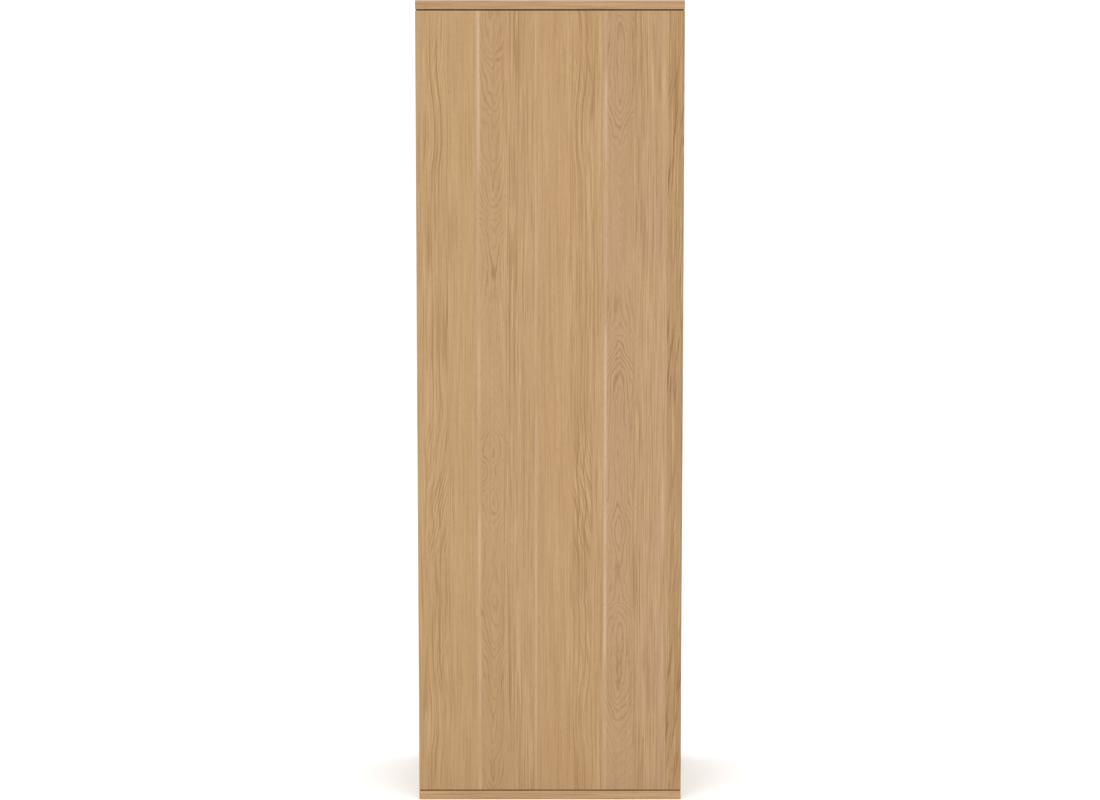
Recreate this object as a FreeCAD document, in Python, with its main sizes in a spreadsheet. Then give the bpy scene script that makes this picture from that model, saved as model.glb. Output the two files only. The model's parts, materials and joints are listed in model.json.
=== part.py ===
import FreeCAD, Part

import os

import Sketcher

# Tall single-door pantry cabinet.
# X runs to the right, Y to the rear, Z up. The origin is the middle of the underside.
# The door closes flush with the front edges of the top and bottom panels and turns
# about its own left front arris, on four concealed seven-pin hinges.

Vector = FreeCAD.Vector
Rotation = FreeCAD.Rotation

# Driving dimensions, in millimetres.
DIMENSIONS = {
    # carcass
    "cab_width": 596,
    "cab_depth": 400,
    "cab_height": 1800,
    "plate_thick": 20,
    "side_thick": 18,
    "shelf_thick": 18,
    "back_thick": 8,
    "lip_width": 8,
    "back_play": 0.5,
    "arris_radius": 1.5,
    # door
    "door_thick": 20,
    "gap_above_door": 2.7,
    "gap_below_door": 2.1,
    "gap_behind_door": 2,
    # shelves and the drilled rows that carry them
    "shelf_setback": 8,
    "shelf_play": 1,
    "shelf_rear_play": 2,
    "fixed_shelf_base": 887,
    "shelf_base_low": 290.5,
    "shelf_base_second": 578.5,
    "shelf_base_third": 1218.5,
    "shelf_base_high": 1506.5,
    "row_step": 32,
    "row_holes": 16,
    "row_base_low": 192,
    "row_base_high": 1120,
    "row_front": 37,
    "row_rear": 325,
    "peg_radius": 2.5,
    "peg_hole_depth": 12,
    "peg_reach": 9,
    "peg_end_play": 1,
    # cam fasteners and dowels
    "cam_radius": 7.4,
    "cam_bore_radius": 7.5,
    "cam_thick": 12.2,
    "cam_bore_depth": 12.5,
    "cam_setback": 34,
    "cam_front": 50,
    "cam_rear": 310,
    "bolt_radius": 2.5,
    "bolt_bore_radius": 4,
    "bolt_reach": 11,
    "bolt_length": 31,
    "cam_entry_radius": 3.8,
    "cam_entry_length": 38,
    "cam_slot_radius": 2.2,
    "cam_slot_depth": 3,
    "dowel_radius": 4,
    "dowel_length": 30,
    "dowel_front": 114,
    "dowel_rear": 246,
    # screws
    "drive_radius": 1.2,
    "drive_depth": 0.8,
    # back panel screws
    "back_screw_head": 3.2,
    "back_screw_sink": 2,
    "back_screw_shank": 1.5,
    "back_screw_length": 20,
    "back_screw_from_edge": 5,
    "back_screw_from_end": 80,
    # hinges; places are measured in from the outer left face and back from the front
    "hinge_base": 112,
    "hinge_second": 624,
    "hinge_third": 1168,
    "hinge_top": 1680,
    "axis_in": 1.5,
    "axis_back": 1.5,
    "cup_pin_in": 21,
    "cup_pin_back": 15.8,
    "cup_far_pin_in": 29,
    "cup_far_pin_back": 16.5,
    "arm_pin_in": 28.5,
    "arm_pin_back": 33,
    "arm_rear_pin_in": 33.5,
    "arm_rear_pin_back": 51,
    "cup_centre_in": 22.5,
    "cup_radius": 17.5,
    "cup_depth": 12.5,
    "cup_wall": 1,
    "flange_thick": 1.2,
    "flange_radius": 20,
    "ear_length": 56,
    "ear_width": 12,
    "cup_screw_spacing": 45,
    "cup_screw_in": 32,
    "cup_screw_head": 3.4,
    "cup_screw_sink": 1.2,
    "cup_screw_shank": 1.7,
    "cup_screw_length": 12,
    "link_half_width": 2.5,
    "link_thick": 2,
    "rear_layer": -3.4,
    "long_layer": -1,
    "main_layer": 1.4,
    "short_layer": 3.8,
    "pin_radius": 1.25,
    "pin_play": 0.05,
    "cheek_place": 6.4,
    "cheek_thick": 1.4,
    "cheek_width": 9.5,
    "cheek_eye_radius": 4,
    "web_thick": 1.5,
    "arm_rear": 94,
    "arm_screw_back": 84,
    "arm_screw_radius": 2,
    "arm_screw_head": 4,
    "arm_screw_head_thick": 2,
    "mount_thick": 2.2,
    "mount_front": 50,
    "wing_length": 46,
    "wing_width": 14,
    "mount_screw_head": 4.2,
    "mount_screw_sink": 2,
    "mount_screw_shank": 2.5,
    "mount_screw_length": 13,
    # push latch
    "latch_base": 838,
    "latch_size": 26,
    "latch_length": 74,
    "latch_width": 15,
    "latch_inset": 2,
    "latch_edge_radius": 2,
    "latch_bore_radius": 4.3,
    "latch_bore_length": 71,
    "latch_screw_along": 16,
    "latch_screw_up": 4,
    "latch_screw_head": 3.2,
    "latch_screw_sink": 2,
    "latch_screw_shank": 1.4,
    "latch_screw_length": 26,
    "plunger_radius": 4,
    "plunger_length": 52,
    "plunger_bore_radius": 2.9,
    "plunger_nose": 6,
    "magnet_radius": 2.2,
    "magnet_length": 3,
    "spring_start": 7,
    "spring_length": 64,
    "spring_pitch": 4,
    "spring_radius": 2.2,
    "spring_wire_radius": 0.35,
    "strike_width": 24,
    "strike_height": 34,
    "strike_thick": 1.5,
    "strike_gap": 0.3,
    "strike_screw_spacing": 18,
    "strike_screw_head": 2.6,
    "strike_screw_sink": 1.2,
    "strike_screw_shank": 1.4,
    "strike_screw_length": 12,
    # levelling feet
    "foot_across": 500,
    "foot_along": 300,
    "foot_recess_radius": 22,
    "foot_recess_depth": 5,
    "foot_radius": 20,
    "foot_thick": 4.2,
    "stem_radius": 4,
    "stem_bore": 4.05,
    "stem_length": 19,
    "bush_radius": 6,
    "bush_length": 12,
    "key_hole_radius": 4.5,
    "key_socket_radius": 2.4,
    "key_socket_depth": 4,
    # wall brackets
    "bracket_spacing": 360,
    "bracket_width": 40,
    "bracket_leg": 34,
    "bracket_thick": 2.5,
    "bracket_screw_spacing": 24,
    "bracket_screw_forward": 20,
    "bracket_screw_head": 3.4,
    "bracket_screw_sink": 2,
    "bracket_screw_shank": 1.6,
    "bracket_screw_length": 14,
    "wall_hole_drop": 22,
    "wall_hole_radius": 3.5,
    "wall_clearance_radius": 4.5,
}

document = FreeCAD.newDocument("pantry_cabinet")
sheet = document.addObject("Spreadsheet::Sheet", "dims")
for row, (alias, size) in enumerate(DIMENSIONS.items(), start=1):
    sheet.set(f"A{row}", alias)
    sheet.set(f"B{row}", str(size))
    sheet.setAlias(f"B{row}", alias)
document.recompute()

# Formulas for the planes that many pieces share.
LEFT = "-dims.cab_width / 2"
RIGHT = "dims.cab_width / 2"
FRONT = "-dims.cab_depth / 2"
REAR = "dims.cab_depth / 2"
SIDE_FRONT = f"({FRONT} + dims.door_thick + dims.gap_behind_door)"
SIDE_DEPTH = "(dims.cab_depth - dims.door_thick - dims.gap_behind_door)"
INNER_LEFT = f"({LEFT} + dims.side_thick)"
INNER_RIGHT = f"({RIGHT} - dims.side_thick)"
INNER_WIDTH = "(dims.cab_width - 2 * dims.side_thick)"
INNER_HEIGHT = "(dims.cab_height - 2 * dims.plate_thick)"
TOP_INNER = "(dims.cab_height - dims.plate_thick)"
BACK_FACE = f"({REAR} - dims.back_thick)"
DOOR_BACK = f"({FRONT} + dims.door_thick)"
DOOR_BASE = "(dims.plate_thick + dims.gap_below_door)"

FIXED_MIDDLE = "(dims.fixed_shelf_base + dims.shelf_thick / 2)"

HINGE_HEIGHTS = ["dims.hinge_base", "dims.hinge_second", "dims.hinge_third", "dims.hinge_top"]
SHELVES = [
    ("low", "dims.shelf_base_low"),
    ("lower_middle", "dims.shelf_base_second"),
    ("upper_middle", "dims.shelf_base_third"),
    ("high", "dims.shelf_base_high"),
]

# Rows that run from front to back, measured from the front edges of the side panels.
CAM_ROWS = ("dims.cam_front", "dims.cam_rear")
DOWEL_ROWS = ("dims.dowel_front", "dims.dowel_rear")
PEG_ROWS = ("dims.row_front", "dims.row_rear")

# A cylinder stands along Z; these turn it along another axis.
TURNS = {
    "x": Rotation(Vector(0, 1, 0), 90),
    "-x": Rotation(Vector(0, 1, 0), -90),
    "y": Rotation(Vector(1, 0, 0), -90),
    "-y": Rotation(Vector(1, 0, 0), 90),
    "z": Rotation(),
    "-z": Rotation(Vector(1, 0, 0), 180),
}

nodes = []


def node(made, label):
    """Register a finished sub-part under its own label."""
    made.Label = label
    nodes.append(made)
    return made


def place(made, x="0", y="0", z="0", along="z"):
    """Turn an object along an axis and bind its position to formulas."""
    made.Placement = FreeCAD.Placement(Vector(), TURNS[along])
    for letter, formula in (("x", x), ("y", y), ("z", z)):
        made.setExpression(f"Placement.Base.{letter}", formula)
    return made


def box(length, width, height, at):
    made = document.addObject("Part::Box", "block")
    made.setExpression("Length", length)
    made.setExpression("Width", width)
    made.setExpression("Height", height)
    return place(made, *at)


def cylinder(radius, height, at, along="z"):
    made = document.addObject("Part::Cylinder", "round")
    made.setExpression("Radius", radius)
    made.setExpression("Height", height)
    return place(made, *at, along=along)


def cone(radius, far_radius, height, at, along="z"):
    made = document.addObject("Part::Cone", "taper")
    made.setExpression("Radius1", radius)
    made.setExpression("Radius2", far_radius)
    made.setExpression("Height", height)
    return place(made, *at, along=along)


def fuse(*shapes):
    made = document.addObject("Part::MultiFuse", "union")
    made.Shapes = list(shapes)
    return made


def group(shapes):
    made = document.addObject("Part::Compound", "group")
    made.Links = list(shapes)
    return made


def cut(base, *tools):
    made = document.addObject("Part::Cut", "machined")
    made.Base = base
    made.Tool = tools[0] if len(tools) == 1 else group(tools)
    return made


# ---------------------------------------------------------------- sketch helpers

def sketch(of, role, lift="0"):
    """A sketch on one of the body's own origin planes, lifted along its normal."""
    made = of.newObject("Sketcher::SketchObject", "outline")
    plane = next(feature for feature in of.Origin.OriginFeatures if feature.Role == role)
    made.AttachmentSupport = [(plane, "")]
    made.MapMode = "FlatFace"
    made.setExpression(".AttachmentOffset.Base.z", lift)
    return made


def constrain(target, constraint, formula=None):
    index = target.addConstraint(constraint)
    if formula is not None:
        target.setExpression(f"Constraints[{index}]", formula)


def add_rectangle(target, across, up, left=None, base=None):
    """A rectangle whose corner is the sketch origin, or stands off it by left and base."""
    corners = [Vector(1, 1, 0), Vector(9, 1, 0), Vector(9, 9, 0), Vector(1, 9, 0)]
    first = target.GeometryCount
    for here, there in zip(corners, corners[1:] + corners[:1]):
        target.addGeometry(Part.LineSegment(here, there), False)
    for step in range(4):
        constrain(target, Sketcher.Constraint("Coincident", first + step, 2, first + (step + 1) % 4, 1))
    for step, word in enumerate(("Horizontal", "Vertical", "Horizontal", "Vertical")):
        constrain(target, Sketcher.Constraint(word, first + step))
    if left is None:
        constrain(target, Sketcher.Constraint("PointOnObject", first, 1, -2))
    else:
        constrain(target, Sketcher.Constraint("DistanceX", -1, 1, first, 1, 1), left)
    if base is None:
        constrain(target, Sketcher.Constraint("PointOnObject", first, 1, -1))
    else:
        constrain(target, Sketcher.Constraint("DistanceY", -1, 1, first, 1, 1), base)
    constrain(target, Sketcher.Constraint("DistanceX", first, 1, first, 2, 8), across)
    constrain(target, Sketcher.Constraint("DistanceY", first + 1, 1, first + 1, 2, 8), up)


def add_circle(target, radius, across, up):
    index = target.addGeometry(Part.Circle(Vector(5, 5, 0), Vector(0, 0, 1), 2), False)
    constrain(target, Sketcher.Constraint("Radius", index, 2), radius)
    constrain(target, Sketcher.Constraint("DistanceX", -1, 1, index, 3, 5), across)
    constrain(target, Sketcher.Constraint("DistanceY", -1, 1, index, 3, 5), up)


def board(label, role, across, up, thick, at, grows_back=False):
    """A flat board: a rectangle on one origin plane, padded to its thickness."""
    made = document.addObject("PartDesign::Body", label)
    place(made, *at)
    outline = sketch(made, role)
    add_rectangle(outline, across, up)
    pad = made.newObject("PartDesign::Pad", "pad")
    pad.Profile = outline
    pad.setExpression("Length", thick)
    pad.Reversed = grows_back
    outline.Visibility = False
    document.recompute()
    return made


def pocket(of, profile, depth, towards_normal=False):
    made = of.newObject("PartDesign::Pocket", "pocket")
    made.Profile = profile
    made.setExpression("Length", depth)
    made.Reversed = towards_normal
    document.recompute()
    return made


def ease(of, keep):
    """Round the edges whose middle point passes the test."""
    tip = of.Tip
    edges = []
    for number, edge in enumerate(tip.Shape.Edges, start=1):
        middle = edge.valueAt((edge.FirstParameter + edge.LastParameter) / 2)
        if keep(middle):
            edges.append(f"Edge{number}")
    made = of.newObject("PartDesign::Fillet", "arris")
    made.Base = (tip, edges)
    made.setExpression("Radius", "dims.arris_radius")
    document.recompute()
    return made


# ---------------------------------------------------------------- top and bottom panels

def near(one, other):
    return abs(one - other) < 0.01


def horizontal_panel(label, base, drilled_face, towards_normal):
    """A full width panel with eased front and end edges, drilled for bolts and dowels."""
    made = board(
        label,
        "XY_Plane",
        "dims.cab_width",
        "dims.cab_depth",
        "dims.plate_thick",
        (LEFT, FRONT, base),
    )
    width = float(sheet.cab_width)
    thick = float(sheet.plate_thick)

    def outer_edge(point):
        on_end = near(point.x, 0) or near(point.x, width)
        on_front = near(point.y, 0)
        upright = near(point.z, thick / 2) and on_end and on_front
        return upright or ((on_end or on_front) and (near(point.z, 0) or near(point.z, thick)))

    ease(made, outer_edge)
    setback = "dims.door_thick + dims.gap_behind_door"
    for rows, radius in ((CAM_ROWS, "dims.bolt_radius"), (DOWEL_ROWS, "dims.dowel_radius")):
        holes = sketch(made, "XY_Plane", drilled_face)
        for across in ("dims.side_thick / 2", "dims.cab_width - dims.side_thick / 2"):
            for along in rows:
                add_circle(holes, radius, across, f"{setback} + {along}")
        pocket(made, holes, "dims.bolt_reach", towards_normal)
    return made


top_board = horizontal_panel("top_board", TOP_INNER, "0", True)
bottom_board = horizontal_panel("bottom_board", "0", "dims.plate_thick", False)

FOOT_PLACES = [
    (f"{side} * dims.foot_across / 2", f"{end} * dims.foot_along / 2", corner)
    for side, end, corner in (
        (-1, -1, "front_left"),
        (1, -1, "front_right"),
        (-1, 1, "rear_left"),
        (1, 1, "rear_right"),
    )
]

foot_recesses = []
for x, y, corner in FOOT_PLACES:
    foot_recesses.append(cylinder("dims.foot_recess_radius", "dims.foot_recess_depth", (x, y, "0")))
    foot_recesses.append(
        cylinder("dims.bush_radius", "dims.foot_recess_depth + dims.bush_length", (x, y, "0"))
    )
    foot_recesses.append(cylinder("dims.key_hole_radius", "dims.plate_thick", (x, y, "0")))
node(cut(bottom_board, fuse(*foot_recesses)), "bottom_panel")


# ---------------------------------------------------------------- side panels

DOWEL_STAND = "(dims.dowel_length - dims.bolt_reach)"


def end_bores(inner_face, outward, cam_height, end, along_board):
    """Cutting cylinders at one end of a side panel: cams in its face, bolts and dowels in its end."""
    middle = f"{inner_face} {'+' if outward == 'x' else '-'} dims.side_thick / 2"
    bores = []
    for along in CAM_ROWS:
        y = f"{SIDE_FRONT} + {along}"
        cam_at = (inner_face, y, cam_height)
        bores.append(cylinder("dims.cam_bore_radius", "dims.cam_bore_depth", cam_at, outward))
        bores.append(cylinder("dims.bolt_bore_radius", "dims.cam_setback", (middle, y, end), along_board))
    for along in DOWEL_ROWS:
        dowel_at = (middle, f"{SIDE_FRONT} + {along}", end)
        bores.append(cylinder("dims.dowel_radius", DOWEL_STAND, dowel_at, along_board))
    return bores


def side_panel(label, start, inner_face, inner_lift, outward):
    """An upright panel with a rear rabbet and rows of peg holes, and its cutting cylinders."""
    made = board(
        label,
        "YZ_Plane",
        SIDE_DEPTH,
        INNER_HEIGHT,
        "dims.side_thick",
        (start, SIDE_FRONT, "dims.plate_thick"),
    )
    towards_normal = outward == "x"
    rabbet = sketch(made, "YZ_Plane", inner_lift)
    add_rectangle(rabbet, "dims.back_thick", INNER_HEIGHT, left=f"{SIDE_DEPTH} - dims.back_thick")
    pocket(made, rabbet, "dims.side_thick - dims.lip_width", towards_normal)
    for first in ("dims.row_base_low", "dims.row_base_high"):
        holes = sketch(made, "YZ_Plane", inner_lift)
        for along in PEG_ROWS:
            add_circle(holes, "dims.peg_radius", along, f"{first} - dims.plate_thick")
        drilled = pocket(made, holes, "dims.peg_hole_depth", towards_normal)
        column = made.newObject("PartDesign::LinearPattern", "column")
        column.Originals = [drilled]
        column.Direction = (holes, ["V_Axis"])
        column.setExpression("Length", "dims.row_step * (dims.row_holes - 1)")
        column.setExpression("Occurrences", "dims.row_holes")
        made.Tip = column
        document.recompute()
    low_cam = "dims.plate_thick + dims.cam_setback"
    high_cam = f"{TOP_INNER} - dims.cam_setback"
    tools = end_bores(inner_face, outward, low_cam, "dims.plate_thick", "z")
    tools += end_bores(inner_face, outward, high_cam, TOP_INNER, "-z")
    for rows, radius in ((CAM_ROWS, "dims.bolt_radius"), (DOWEL_ROWS, "dims.dowel_radius")):
        for along in rows:
            where = (inner_face, f"{SIDE_FRONT} + {along}", FIXED_MIDDLE)
            tools.append(cylinder(radius, "dims.bolt_reach", where, outward))
    return made, tools


left_board, left_tools = side_panel("left_board", LEFT, INNER_LEFT, "dims.side_thick", "-x")
right_board, right_tools = side_panel("right_board", INNER_RIGHT, INNER_RIGHT, "0", "x")


# ---------------------------------------------------------------- screws

def screw_space(kind, at, along):
    """The full space of a countersunk screw whose head's flat face is centred on the point."""
    words = ("head", "sink", "shank", "length")
    head, sink, shank, length = (f"dims.{kind}_screw_{word}" for word in words)
    return fuse(cone(head, shank, sink, at, along), cylinder(shank, length, at, along))


def hexagon(radius, height, at, along="z"):
    made = document.addObject("Part::Prism", "hexagon")
    made.Polygon = 6
    made.setExpression("Circumradius", radius)
    made.setExpression("Height", height)
    return place(made, *at, along=along)


def screw(kind, at, along):
    """A screw that fills its space but for the hexagonal socket in its head."""
    socket = hexagon("dims.drive_radius", "dims.drive_depth", at, along)
    return cut(screw_space(kind, at, along), socket)


def spaces(kind, places, along):
    return [screw_space(kind, at, along) for at in places]


def screws(kind, places, along):
    return [screw(kind, at, along) for at in places]


# ---------------------------------------------------------------- back panel

back_board = board(
    "back_board",
    "XZ_Plane",
    f"{INNER_WIDTH} + 2 * (dims.side_thick - dims.lip_width - dims.back_play)",
    f"{INNER_HEIGHT} - 2 * dims.back_play",
    "dims.back_thick",
    (
        f"{LEFT} + dims.lip_width + dims.back_play",
        BACK_FACE,
        "dims.plate_thick + dims.back_play",
    ),
    grows_back=True,
)

back_screw_places = []
BACK_SCREW_ROWS = 6
for side in (-1, 1):
    for step in range(BACK_SCREW_ROWS):
        x = f"{side} * (dims.cab_width / 2 - dims.lip_width - dims.back_screw_from_edge)"
        run = f"({INNER_HEIGHT} - 2 * dims.back_screw_from_end)"
        z = f"dims.plate_thick + dims.back_screw_from_end + {run} * {step} / {BACK_SCREW_ROWS - 1}"
        back_screw_places.append((x, REAR, z))
for step in (-1, 0, 1):
    back_screw_places.append((f"{step} * dims.cab_width / 4", REAR, FIXED_MIDDLE))

node(group(screws("back", back_screw_places, "-y")), "back_panel_screws")
wall_holes = []
for side in (-1, 1):
    where = (
        f"{side} * dims.bracket_spacing / 2",
        BACK_FACE,
        f"{TOP_INNER} - dims.wall_hole_drop",
    )
    wall_holes.append(cylinder("dims.wall_clearance_radius", "dims.back_thick", where, "y"))
node(cut(back_board, *spaces("back", back_screw_places, "-y"), *wall_holes), "back_panel")


# ---------------------------------------------------------------- fixed and loose shelves

SHELF_DEPTH = f"({SIDE_DEPTH} - dims.shelf_setback - dims.back_thick)"


def shelf_front_edge(point):
    return near(point.y, 0) and not near(point.z, float(sheet.shelf_thick) / 2)


fixed_board = board(
    "fixed_board",
    "XY_Plane",
    INNER_WIDTH,
    SHELF_DEPTH,
    "dims.shelf_thick",
    (INNER_LEFT, f"{SIDE_FRONT} + dims.shelf_setback", "dims.fixed_shelf_base"),
)
ease(fixed_board, shelf_front_edge)

fixed_tools = spaces("back", back_screw_places[2 * BACK_SCREW_ROWS :], "-y")
for end, inward, sign in ((INNER_LEFT, "x", "+"), (INNER_RIGHT, "-x", "-")):
    for along in CAM_ROWS:
        y = f"{SIDE_FRONT} + {along}"
        cam_at = (f"{end} {sign} dims.cam_setback", y, "dims.fixed_shelf_base")
        bolt_at = (end, y, FIXED_MIDDLE)
        fixed_tools.append(cylinder("dims.cam_bore_radius", "dims.cam_bore_depth", cam_at))
        fixed_tools.append(cylinder("dims.bolt_bore_radius", "dims.cam_setback", bolt_at, inward))
    for along in DOWEL_ROWS:
        dowel_at = (end, f"{SIDE_FRONT} + {along}", FIXED_MIDDLE)
        fixed_tools.append(cylinder("dims.dowel_radius", DOWEL_STAND, dowel_at, inward))
node(cut(fixed_board, fuse(*fixed_tools)), "fixed_shelf")

pegs = []
for word, base in SHELVES:
    shelf = board(
        f"shelf_{word}",
        "XY_Plane",
        f"{INNER_WIDTH} - 2 * dims.shelf_play",
        f"{SHELF_DEPTH} - dims.shelf_rear_play",
        "dims.shelf_thick",
        (f"{INNER_LEFT} + dims.shelf_play", f"{SIDE_FRONT} + dims.shelf_setback", base),
    )
    ease(shelf, shelf_front_edge)
    node(shelf, f"adjustable_shelf_{word}")
    for face, inward, outward in ((INNER_LEFT, "x", "-x"), (INNER_RIGHT, "-x", "x")):
        for along in PEG_ROWS:
            peg_at = (face, f"{SIDE_FRONT} + {along}", f"{base} - dims.peg_radius")
            held = "dims.peg_hole_depth - dims.peg_end_play"
            pegs.append(
                fuse(
                    cylinder("dims.peg_radius", held, peg_at, outward),
                    cylinder("dims.peg_radius", "dims.peg_reach", peg_at, inward),
                )
            )
node(group(pegs), "shelf_pegs")


# ---------------------------------------------------------------- cams, bolts and dowels

cams = []
bolts = []
dowels = []


def add_fastener(cam_at, cam_along, bolt_at, bolt_along, bolt_back):
    """One cam in its bore and the bolt that it pulls, joined across a panel's end."""
    barrel = cylinder("dims.cam_radius", "dims.cam_thick", cam_at, cam_along)
    entry = cylinder("dims.cam_entry_radius", "dims.cam_entry_length", bolt_at, bolt_along)
    slot = cylinder("dims.cam_slot_radius", "dims.cam_slot_depth", cam_at, cam_along)
    cams.append(cut(barrel, entry, slot))
    bolts.append(
        fuse(
            cylinder("dims.bolt_radius", "dims.bolt_reach", bolt_at, bolt_back),
            cylinder("dims.bolt_radius", "dims.bolt_length", bolt_at, bolt_along),
        )
    )


for face, outward, middle in (
    (INNER_LEFT, "-x", f"{LEFT} + dims.side_thick / 2"),
    (INNER_RIGHT, "x", f"{RIGHT} - dims.side_thick / 2"),
):
    for end, along_board, back, sign, back_sign in (
        ("dims.plate_thick", "z", "-z", "+", "-"),
        (TOP_INNER, "-z", "z", "-", "+"),
    ):
        for along in CAM_ROWS:
            y = f"{SIDE_FRONT} + {along}"
            cam_at = (face, y, f"{end} {sign} dims.cam_setback")
            add_fastener(cam_at, outward, (middle, y, end), along_board, back)
        for along in DOWEL_ROWS:
            dowel_at = (middle, f"{SIDE_FRONT} + {along}", f"{end} {back_sign} dims.bolt_reach")
            dowels.append(cylinder("dims.dowel_radius", "dims.dowel_length", dowel_at, along_board))

for face, inward, outward, sign, back_sign in (
    (INNER_LEFT, "x", "-x", "+", "-"),
    (INNER_RIGHT, "-x", "x", "-", "+"),
):
    for along in CAM_ROWS:
        y = f"{SIDE_FRONT} + {along}"
        cam_at = (f"{face} {sign} dims.cam_setback", y, "dims.fixed_shelf_base")
        add_fastener(cam_at, "z", (face, y, FIXED_MIDDLE), inward, outward)
    for along in DOWEL_ROWS:
        dowel_at = (f"{face} {back_sign} dims.bolt_reach", f"{SIDE_FRONT} + {along}", FIXED_MIDDLE)
        dowels.append(cylinder("dims.dowel_radius", "dims.dowel_length", dowel_at, inward))
node(group(cams), "cam_locks")
node(group(bolts), "cam_bolts")
node(group(dowels), "dowels")


# ---------------------------------------------------------------- concealed hinges

def from_left(distance):
    """A place measured in from the outer left face."""
    return f"{LEFT} + {distance}"


def from_front(distance):
    """A place measured back from the front face of the door."""
    return f"{FRONT} + {distance}"


ARM_PIN = ("dims.arm_pin_in", "dims.arm_pin_back")
ARM_REAR_PIN = ("dims.arm_rear_pin_in", "dims.arm_rear_pin_back")
CUP_PIN = ("dims.cup_pin_in", "dims.cup_pin_back")
CUP_FAR_PIN = ("dims.cup_far_pin_in", "dims.cup_far_pin_back")


def fourth_corner(arm_pin, cup_pin):
    """The joint that completes the parallelogram of the door axis, an arm pin and a cup pin."""
    return (
        f"({arm_pin[0]} + {cup_pin[0]} - dims.axis_in)",
        f"({arm_pin[1]} + {cup_pin[1]} - dims.axis_back)",
    )


NEAR_JOINT = fourth_corner(ARM_PIN, CUP_PIN)
FAR_JOINT = fourth_corner(ARM_PIN, CUP_FAR_PIN)
REAR_JOINT = fourth_corner(ARM_REAR_PIN, CUP_PIN)

RUNNING_FIT = "dims.pin_radius + dims.pin_play"


def upright(radius, height, point, base):
    return cylinder(radius, height, (from_left(point[0]), from_front(point[1]), base))


def link(points, base, tight=()):
    """A flat link with an eye at each point; the eyes in tight grip their pins."""
    made = []
    for start, end in zip(points, points[1:]):
        across = f"({end[0]} - {start[0]})"
        along = f"({end[1]} - {start[1]})"
        length = f"sqrt({across} ^ 2 + {along} ^ 2)"
        bar = box(
            length,
            "2 * dims.link_half_width",
            "dims.link_thick",
            (
                f"{from_left(start[0])} + dims.link_half_width * {along} / {length}",
                f"{from_front(start[1])} - dims.link_half_width * {across} / {length}",
                base,
            ),
        )
        bar.setExpression("Placement.Rotation.Angle", f"atan2({along}; {across})")
        made.append(bar)
    eyes = list(dict.fromkeys(points))
    made += [upright("dims.link_half_width", "dims.link_thick", eye, base) for eye in eyes]
    bores = []
    for eye in eyes:
        radius = "dims.pin_radius" if eye in tight else RUNNING_FIT
        bores.append(upright(radius, "dims.link_thick", eye, base))
    return cut(fuse(*made), *bores)


def cup_pin_half(pin_in):
    """Half the length of a pin that ends inside the wall of the cup."""
    return f"sqrt((dims.cup_radius - dims.cup_wall / 2) ^ 2 - ({pin_in} - dims.cup_centre_in) ^ 2)"


def cup_pins(height):
    made = []
    for point in (CUP_PIN, CUP_FAR_PIN):
        half = cup_pin_half(point[0])
        made.append(upright("dims.pin_radius", f"2 * {half}", point, f"{height} - {half}"))
    return made


def cup_screw_places(height):
    x = from_left("dims.cup_screw_in")
    y = f"{DOOR_BACK} + dims.flange_thick"
    return [(x, y, f"{height} + {side} * dims.cup_screw_spacing / 2") for side in (-1, 1)]


def hinge_cup(height):
    """A drawn cup with a flange and two ears, open towards the carcass."""
    centre = from_left("dims.cup_centre_in")
    shell = cylinder("dims.cup_radius", "dims.cup_depth", (centre, DOOR_BACK, height), "-y")
    flange = cylinder("dims.flange_radius", "dims.flange_thick", (centre, DOOR_BACK, height), "y")
    ears = box(
        "dims.ear_width",
        "dims.flange_thick",
        "dims.ear_length",
        (
            f"{from_left('dims.cup_screw_in')} - dims.ear_width / 2",
            DOOR_BACK,
            f"{height} - dims.ear_length / 2",
        ),
    )
    hollow = cylinder(
        "dims.cup_radius - dims.cup_wall",
        "dims.cup_depth - dims.cup_wall + dims.flange_thick",
        (centre, f"{DOOR_BACK} + dims.flange_thick", height),
        "-y",
    )
    holes = spaces("cup", cup_screw_places(height), "-y")
    return cut(cut(fuse(shell, flange, ears), hollow), *cup_pins(height), *holes)


CHEEK_OUTER = "(dims.cheek_place + dims.cheek_thick)"
WEB_FACE = f"({INNER_LEFT} + dims.mount_thick)"
ROW_PLACE = "(dims.door_thick + dims.gap_behind_door + dims.row_front)"


def arm_pins(height):
    return [
        upright("dims.pin_radius", f"2 * {CHEEK_OUTER}", point, f"{height} - {CHEEK_OUTER}")
        for point in (ARM_PIN, ARM_REAR_PIN)
    ]


def arm_screw(height):
    """The clamp screw that holds the arm on its mounting plate."""
    back = from_front("dims.arm_screw_back")
    head_at = (f"{WEB_FACE} + dims.web_thick", back, height)
    held = "dims.mount_thick + dims.web_thick"
    return fuse(
        cylinder("dims.arm_screw_radius", held, (INNER_LEFT, back, height), "x"),
        cylinder("dims.arm_screw_head", "dims.arm_screw_head_thick", head_at, "x"),
    )


def hinge_arm(height):
    """A channel: a web on the mounting plate and two cheeks that carry the fixed pins."""
    length = "dims.arm_rear - dims.arm_pin_back"
    web = box(
        "dims.web_thick",
        length,
        f"2 * {CHEEK_OUTER}",
        (WEB_FACE, from_front("dims.arm_pin_back"), f"{height} - {CHEEK_OUTER}"),
    )
    pieces = [web]
    for base in (f"{height} + dims.cheek_place", f"{height} - {CHEEK_OUTER}"):
        corner = (WEB_FACE, from_front("dims.arm_pin_back"), base)
        pieces.append(box("dims.cheek_width", length, "dims.cheek_thick", corner))
        for point in (ARM_PIN, ARM_REAR_PIN):
            pieces.append(upright("dims.cheek_eye_radius", "dims.cheek_thick", point, base))
    return cut(fuse(*pieces), *arm_pins(height), arm_screw(height))


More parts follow.
